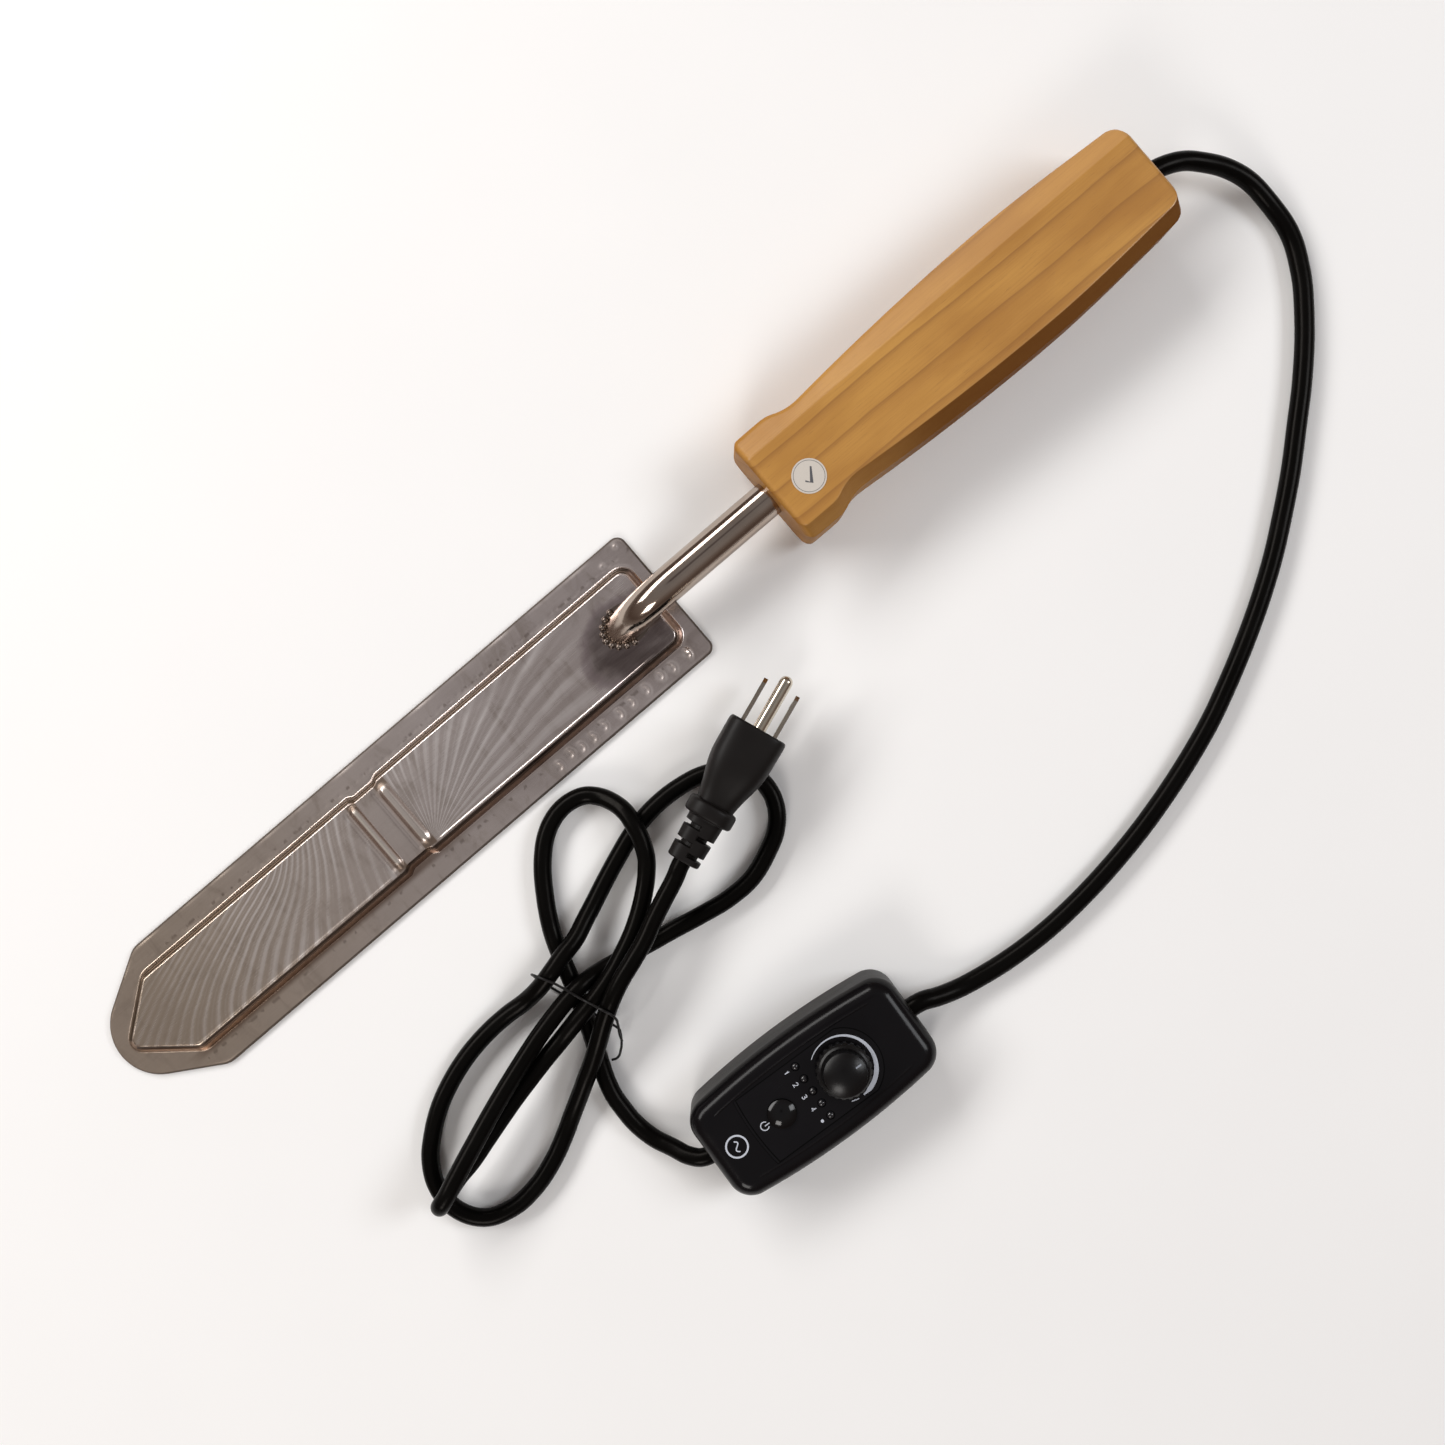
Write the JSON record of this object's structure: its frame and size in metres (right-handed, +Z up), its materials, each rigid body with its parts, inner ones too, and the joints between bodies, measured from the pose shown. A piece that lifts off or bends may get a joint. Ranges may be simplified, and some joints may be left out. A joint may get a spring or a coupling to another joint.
{
  "type": "uncapping knife",
  "caption": "Electric uncapping knife: a flat heated blade, wooden handle, cord with an in-line heat control and a grounded plug.",
  "frame": {"origin": "centre of the blade's flat underside, which lies on the table", "axes": "+X along the knife towards the butt of the handle, +Y across the blade away from the control box, +Z up; the knife, box, cord and plug all rest on the plane z = 0"},
  "size_m": [0.5107, 0.2135, 0.0356],
  "materials": {
    "blade_steel": "brushed, with heat-dulled streaks",
    "tube_steel": "polished",
    "weld_metal": "dark weld beads",
    "mica": "satin sheet",
    "resistance_alloy": "bright ribbon",
    "ceramic_felt": "white fibre",
    "varnished_pine": "clear varnish",
    "label_paper": "white paper",
    "black_nylon": "satin",
    "glass_sleeve": "woven sleeve",
    "crimp_nylon": "translucent",
    "cord_jacket": "semi-gloss vinyl",
    "core_insulation": "vinyl",
    "tie_wire": "coated wire",
    "case_plastic": "polished black",
    "panel_film": "printed film",
    "knob_plastic": "polished black",
    "shaft_metal": "turned",
    "pot_metal": "stamped",
    "screw_steel": "zinc plated",
    "button_plastic": "polished black",
    "lamp_lens": "milky",
    "board_laminate": "solder mask",
    "chip_epoxy": "moulded epoxy",
    "sink_aluminium": "extruded",
    "capacitor_case": "moulded",
    "capacitor_sleeve": "shrink sleeve",
    "resistor_body": "lacquered",
    "fuse_glass": "clear tube",
    "contact_brass": "stamped",
    "terminal_plastic": "moulded",
    "plug_rubber": "moulded vinyl",
    "plug_insert": "moulded",
    "nickel": "nickel plated"
  },
  "bodies": {
    "frame": {"blade_plate": "blade_steel", "blade_cover": "blade_steel", "neck_tube": "tube_steel", "neck_weld": "weld_metal", "heater_mica_lower": "mica", "heater_mica_upper": "mica", "heater_core": "mica", "heater_ribbon": "resistance_alloy", "insulation_pad": "ceramic_felt", "handle": "varnished_pine", "inspection_sticker": "label_paper", "cord_stop": "black_nylon", "heater_leads": "glass_sleeve", "splice_sleeves": "crimp_nylon", "handle_cord": "cord_jacket", "handle_cord_cores": "core_insulation", "power_cord": "cord_jacket", "power_cord_cores": "core_insulation", "cord_tie": "tie_wire", "box_base": "case_plastic", "box_cover": "case_plastic", "panel_film": "panel_film", "pot_body": "pot_metal", "pot_nut": "screw_steel", "switch_body": "black_nylon", "indicator_lamps": "lamp_lens", "circuit_board": "board_laminate", "board_screws": "screw_steel", "case_screws": "screw_steel", "clamp_screws": "screw_steel", "triac_screw": "screw_steel", "cord_clamps": "black_nylon", "triac": "chip_epoxy", "controller_chip": "chip_epoxy", "heat_sink": "sink_aluminium", "film_capacitor": "capacitor_case", "electrolytic_capacitor": "capacitor_sleeve", "resistors": "resistor_body", "fuse_link": "fuse_glass", "fuse_clips": "contact_brass", "terminal_blocks": "terminal_plastic", "plug_body": "plug_rubber", "plug_insert": "plug_insert", "line_blade": "nickel", "neutral_blade": "nickel", "ground_pin": "nickel"},
    "knob": {"control_knob": "knob_plastic", "pot_shaft": "shaft_metal"},
    "button": {"push_button": "button_plastic", "switch_plunger": "button_plastic"}
  },
  "joints": [
    {"name": "knob_turn", "type": "hinge", "parent": "frame", "child": "knob", "pos_m": [0.06702, -0.16531, 0.024], "axis": [0, 0, 1], "range_deg": [-140, 140]},
    {"name": "button_press", "type": "slide", "parent": "frame", "child": "button", "axis": [0, 0, -1], "range_m": [0, 0.0008], "stiffness_N_per_m": 400}
  ]
}
